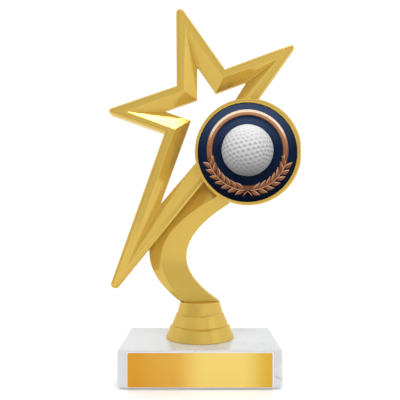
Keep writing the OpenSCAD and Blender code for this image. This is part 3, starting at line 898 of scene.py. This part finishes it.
def dimple_centres(frequency=6):
    """Directions of the dimples: the points of an icosahedron's faces divided evenly, pushed out
    onto the sphere, then tilted so that the rows run aslant."""
    g = (1 + 5 ** 0.5) / 2
    corners = unit(np.array([(0, s, t * g) for s in (-1, 1) for t in (-1, 1)]
                            + [(s, t * g, 0) for s in (-1, 1) for t in (-1, 1)]
                            + [(t * g, 0, s) for s in (-1, 1) for t in (-1, 1)]))
    near = corners @ corners.T > 0.4
    faces = [(a, b, c) for a in range(12) for b in range(a + 1, 12) for c in range(b + 1, 12)
             if near[a, b] and near[b, c] and near[a, c]]
    points = [(corners[a] * i + corners[b] * j + corners[c] * (frequency - i - j)) / frequency
              for a, b, c in faces for i in range(frequency + 1) for j in range(frequency + 1 - i)]
    points = np.unique(np.round(unit(np.array(points)), 6), axis=0)
    tilt, roll = radians(24), radians(-14)
    about_x = np.array([(1, 0, 0), (0, np.cos(tilt), -np.sin(tilt)), (0, np.sin(tilt), np.cos(tilt))])
    about_y = np.array([(np.cos(roll), 0, np.sin(roll)), (0, 1, 0), (-np.sin(roll), 0, np.cos(roll))])
    return points @ about_x.T @ about_y.T


def ball_surface(depth):
    """The ball in relief: half of a dimpled sphere, pressed flat towards the insert. Rings and
    spokes cover the half-sphere, each point sinks by a raised cosine of its distance from the
    nearest dimple, and the height is scaled so that the ball rises as far as its CAD node. The
    tone is painted shading: it falls from top to bottom and towards the sides, and each dimple's
    upper wall is painted darker than its lower one, as light from above would shade it."""
    low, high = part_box("golf_ball")
    r, rise = (high.x - low.x) / 2, high.y - low.y
    tilt = np.linspace(0, pi / 2, 110)[:, None]
    spoke = np.linspace(0, 2 * pi, 360, endpoint=False)[None, :]
    way = np.stack([np.sin(tilt) * np.cos(spoke), -np.cos(tilt) * np.ones_like(spoke),
                    np.sin(tilt) * np.sin(spoke)], axis=-1)
    centres = dimple_centres()
    close = way.reshape(-1, 3) @ centres.T
    nearest = np.argmax(close, axis=1)
    share = np.clip(np.arccos(np.clip(np.max(close, axis=1), -1, 1)) / radians(5.4), 0, 1).reshape(way.shape[:2])
    above = (way - centres[nearest].reshape(way.shape))[..., 2] / radians(5.4)
    sunk = 1 - depth * 0.5 * (1 + np.cos(pi * share))
    across = way * sunk[..., None] * r
    height = rise * (1 - np.clip((1 - sunk) * 4 * np.abs(way[..., 1]) ** 0.3, 0, 1)) * np.abs(way[..., 1]) ** 1.15
    x, z = art_centre()
    grid = np.stack([x + across[..., 0], high.y - height, z + across[..., 2]], axis=-1)
    up, out = way[..., 2], way[..., 0]
    # Painted shading of the ball: lighter at the top, darker towards the bottom and the sides, with painted shade on
    # the upper wall of each dimple.
    painted_shading = np.interp(up, [-1, -0.72, 0, 0.45, 0.85, 1], [0.10, 0.22, 0.60, 0.80, 0.93, 0.93])
    painted_shading *= 1 - 0.36 * np.abs(out) ** 2.5
    contrast = np.interp(up, [-1, -0.6, 0.1, 0.5, 0.9], [0.24, 0.42, 0.44, 0.26, 0.08])
    painted_shading *= 1 - contrast * (0.30 * (1 - share ** 3) + 1.7 * above * np.sin(pi * share ** 0.8))
    underside = grid[-1:].copy()
    underside[..., 0], underside[..., 2] = x, z
    return np.concatenate([grid, underside]), np.concatenate([painted_shading, painted_shading[-1:]]).clip(0, 1)


class TROPHY_OT_ball(bpy.types.Operator):
    """Builds the dimpled golf ball in relief"""
    bl_idname = "trophy.ball"
    bl_label = "Ball"

    def execute(self, context):
        look = context.scene.trophy_insert
        enamel = shared("ball_enamel", ball_enamel, look)
        grid, painted_shading = ball_surface(look.dimple_depth)
        new_piece("golf_ball_relief", [(grid, False, True, painted_shading)], enamel,
                  ["golf_ball"], smooth=60)
        return {"FINISHED"}


# ---------------------------------------------------------------- the base

def block_surface(low, high, corner, edge):
    """A block with rounded upright corners and rounded upper and lower edges: its rounded outline
    is stacked up, drawn in by a quarter circle at each edge, and closed to a middle point."""
    centre = np.array([(low.x + high.x) / 2, (low.y + high.y) / 2])
    half = np.array([(high.x - low.x) / 2, (high.y - low.y) / 2])
    signs = np.array([(-1, -1), (-1, 1), (1, 1), (1, -1)])
    turn = np.linspace(0, pi / 2, 7)
    drawn = np.concatenate([[half.min()], edge * (1 - np.sin(turn)), edge * (1 - np.sin(turn[::-1])), [half.min()]])
    height = np.concatenate([[low.z], low.z + edge * (1 - np.cos(turn)),
                             high.z - edge * (1 - np.cos(turn[::-1])), [high.z]])
    rows = []
    for k, (by, z) in enumerate(zip(drawn, height)):
        if k in (0, len(height) - 1):
            flat = np.repeat(centre[None], 4 * 7, axis=0)
        else:
            flat = rounded(centre + signs * (half - by), max(corner - by, 0.2 * MM), 6)
        rows.append(np.stack([flat[:, 0], flat[:, 1], np.full(len(flat), z)], axis=-1))
    return np.stack(rows)


class TROPHY_OT_base(bpy.types.Operator):
    """Builds the marble block and finishes its felt pad"""
    bl_idname = "trophy.base"
    bl_label = "Marble block"

    def execute(self, context):
        look = context.scene.trophy_base
        low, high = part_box("marble_base")
        grid = block_surface(low, high, 1.6 * MM, 0.8 * MM)
        marble = new_piece("marble_block", [(grid, False, True)], shared("white_marble", veined_marble, look),
                           ["marble_base"], smooth=40)
        even_shading(marble)
        cad_material("base_pad", pale_felt())
        return {"FINISHED"}


def card_surface(low, high, corner, edge):
    """A thin upright card facing -Y: its rounded outline at the back, at the front less a quarter
    circle at the edge, and both sides closed to a middle point."""
    centre = np.array([(low.x + high.x) / 2, (low.z + high.z) / 2])
    half = np.array([(high.x - low.x) / 2, (high.z - low.z) / 2])
    signs = np.array([(-1, -1), (-1, 1), (1, 1), (1, -1)])
    turn = np.linspace(0, pi / 2, 5)
    rows = [(None, high.y), (0.0, high.y)]
    rows += [(edge * (1 - np.cos(t)), low.y + edge * (1 - np.sin(t))) for t in turn]
    rows.append((None, low.y))
    grid = []
    for by, y in rows:
        if by is None:
            flat = np.repeat(centre[None], 4 * 5, axis=0)
        else:
            flat = rounded(centre + signs * (half - by), max(corner - by, 0.1 * MM), 4)
        grid.append(np.stack([flat[:, 0], np.full(len(flat), y), flat[:, 1]], axis=-1))
    return np.stack(grid)


class TROPHY_OT_nameplate(bpy.types.Operator):
    """Builds the blank nameplate and its white backing"""
    bl_idname = "trophy.nameplate"
    bl_label = "Nameplate"

    def execute(self, context):
        look = context.scene.trophy_base
        for node, name, material, slot, corner in (
                ("nameplate", "gold_plate", shared("satin_gold_plate", satin_plate, look), "plate_gold", 0.25),
                ("nameplate_tape", "white_backing", shared("white_tape", white_tape), "tape_white", 0.4)):
            low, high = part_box(node)
            piece = new_piece(name, [(card_surface(low, high, corner * MM, 0.15 * MM), False, True)],
                              material, [node], smooth=40)
            even_shading(piece)
        return {"FINISHED"}


class TROPHY_OT_fixings(bpy.types.Operator):
    """Finishes the rod, washers, nut, pins and the other hidden pieces"""
    bl_idname = "trophy.fixings"
    bl_label = "Fixings"

    def execute(self, context):
        for node in ("threaded_rod", "flat_washer", "spring_washer", "clamp_nut", "location_pins"):
            cad_material(node, steel())
        cad_material("threaded_insert", machined_brass())
        cad_material("insert_tape", shared("white_tape", white_tape))
        return {"FINISHED"}


# ---------------------------------------------------------------- the stage

def area_light(name, place, target, size, watts):
    """A rectangular soft light at a place, turned to face a target, hidden from the camera."""
    data = bpy.data.lights.new(name, "AREA")
    data.shape = "RECTANGLE"
    data.size, data.size_y = size
    data.energy = watts
    obj = bpy.data.objects.new(name, data)
    obj.location = place
    obj.rotation_euler = (Vector(target) - Vector(place)).to_track_quat("-Z", "Y").to_euler()
    obj.visible_camera = False
    bpy.context.scene.collection.objects.link(obj)
    return obj


def passes_over(light, names):
    """Keeps a light off some pieces, whose curved tops would throw small hot spots."""
    spared = bpy.data.collections.new("spared_by_" + light.name)
    for name in names:
        spared.objects.link(bpy.data.objects[name])
    for entry in spared.collection_objects:
        entry.light_linking.link_state = "EXCLUDE"
    light.light_linking.receiver_collection = spared


def studio_world(strength):
    """White surroundings: a sphere of soft white, dimmer ahead of the object, where the studio's
    open side is, than behind, overhead and high on the right."""
    world = bpy.data.worlds.new("studio")
    bpy.context.scene.world = world
    world.use_nodes = True
    tree = world.node_tree
    place = tree.nodes.new("ShaderNodeTexCoord").outputs["Generated"]
    ramp = tree.nodes.new("ShaderNodeValToRGB")
    ramp.color_ramp.interpolation = "EASE"
    facing = tree.nodes.new("ShaderNodeVectorMath")
    facing.operation = "DOT_PRODUCT"
    facing.inputs[1].default_value = (0.7, 1.2, 0.8)
    tree.links.new(place, facing.inputs[0])
    span = tree.nodes.new("ShaderNodeMapRange")
    tree.links.new(facing.outputs["Value"], span.inputs["Value"])
    span.inputs["From Min"].default_value = -1.2
    span.inputs["From Max"].default_value = -0.35
    tree.links.new(span.outputs["Result"], ramp.inputs["Fac"])
    for element, (position, grey) in zip(ramp.color_ramp.elements, ((0.1, 0.60), (0.9, 1.0))):
        element.position = position
        element.color = (grey, grey, grey, 1.0)
    background = tree.nodes["Background"]
    tree.links.new(ramp.outputs["Color"], background.inputs["Color"])
    background.inputs["Strength"].default_value = strength


def pale_floor(tone):
    """A wide pale floor with a barely uneven tone."""
    f = Finish("pale_floor")
    f.link(f.blend(f.noise(3, 2), tuple(0.99 * c for c in tone), tuple(tone)), "Base Color")
    f.shader_values(Roughness=0.9, Specular_IOR_Level=0.1, Emission_Color=(1.0, 1.0, 1.0, 1.0),
                    Emission_Strength=0.07)
    reach = 6.0
    edge = np.linspace(-reach, reach, 2)
    x, y = np.meshgrid(edge, edge)
    grid = np.stack([x, y, np.zeros_like(x)], axis=-1)
    mesh = bpy.data.meshes.new("floor")
    mesh.from_pydata(grid.reshape(-1, 3), [], grid_faces(2, 2, False, False).tolist())
    mesh.materials.append(f.material)
    floor = bpy.data.objects.new("floor", mesh)
    bpy.context.scene.collection.objects.link(floor)


class TROPHY_OT_stage(bpy.types.Operator):
    """Sets the pale floor, the soft lights and the camera"""
    bl_idname = "trophy.stage"
    bl_label = "Stage"

    def execute(self, context):
        look = context.scene.trophy_stage
        scene = context.scene
        pale_floor(look.floor)
        studio_world(look.world)
        low, high = CAD_BOX
        middle = ((low.x + high.x) / 2, 0.0, high.z * 0.55)
        top = area_light("top_light", (0.075, -0.21, 0.75), middle, (0.14, 0.11), look.top)
        passes_over(top, ("insert_holder", "riser_cone"))
        area_light("key_light", (0.85, -0.45, 0.60), middle, (0.6, 0.45), look.side)
        data = bpy.data.cameras.new("camera")
        data.sensor_width = 36.0
        data.lens = 44.49
        data.shift_y = 0.0445
        data.clip_start = 0.01
        camera = bpy.data.objects.new("camera", data)
        camera.location = (0.0, -0.2628, 0.0828)
        camera.rotation_euler = (pi / 2, 0.0, 0.0)
        scene.collection.objects.link(camera)
        scene.camera = camera
        scene.view_settings.view_transform = "Standard"
        return {"FINISHED"}


# ---------------------------------------------------------------- panel and registration

OPERATORS = (TROPHY_OT_base, TROPHY_OT_nameplate, TROPHY_OT_riser, TROPHY_OT_stem, TROPHY_OT_star,
             TROPHY_OT_holder, TROPHY_OT_insert, TROPHY_OT_laurel, TROPHY_OT_ball, TROPHY_OT_fixings,
             TROPHY_OT_stage)
SETTINGS = {"trophy_figure": TrophyFigureSettings, "trophy_base": TrophyBaseSettings,
            "trophy_insert": TrophyInsertSettings, "trophy_stage": TrophyStageSettings}


class TROPHY_PT_panel(bpy.types.Panel):
    bl_idname = "TROPHY_PT_panel"
    bl_label = "Star trophy"
    bl_space_type = "VIEW_3D"
    bl_region_type = "UI"
    bl_category = "Trophy"

    def draw(self, context):
        for name, group in SETTINGS.items():
            box = self.layout.box()
            for key in group.__annotations__:
                box.prop(getattr(context.scene, name), key)
        for operator in OPERATORS:
            self.layout.operator(operator.bl_idname)


def register():
    for group in SETTINGS.values():
        bpy.utils.register_class(group)
    for name, group in SETTINGS.items():
        setattr(bpy.types.Scene, name, bpy.props.PointerProperty(type=group))
    for cls in (*OPERATORS, TROPHY_PT_panel):
        bpy.utils.register_class(cls)


def unregister():
    for cls in (TROPHY_PT_panel, *reversed(OPERATORS)):
        bpy.utils.unregister_class(cls)
    for name, group in SETTINGS.items():
        delattr(bpy.types.Scene, name)
        bpy.utils.unregister_class(group)


def main():
    """Registers the classes and builds every piece in order."""
    register()
    for operator in OPERATORS:
        group, name = operator.bl_idname.split(".")
        getattr(getattr(bpy.ops, group), name)()


if __name__ == "__main__":
    main()
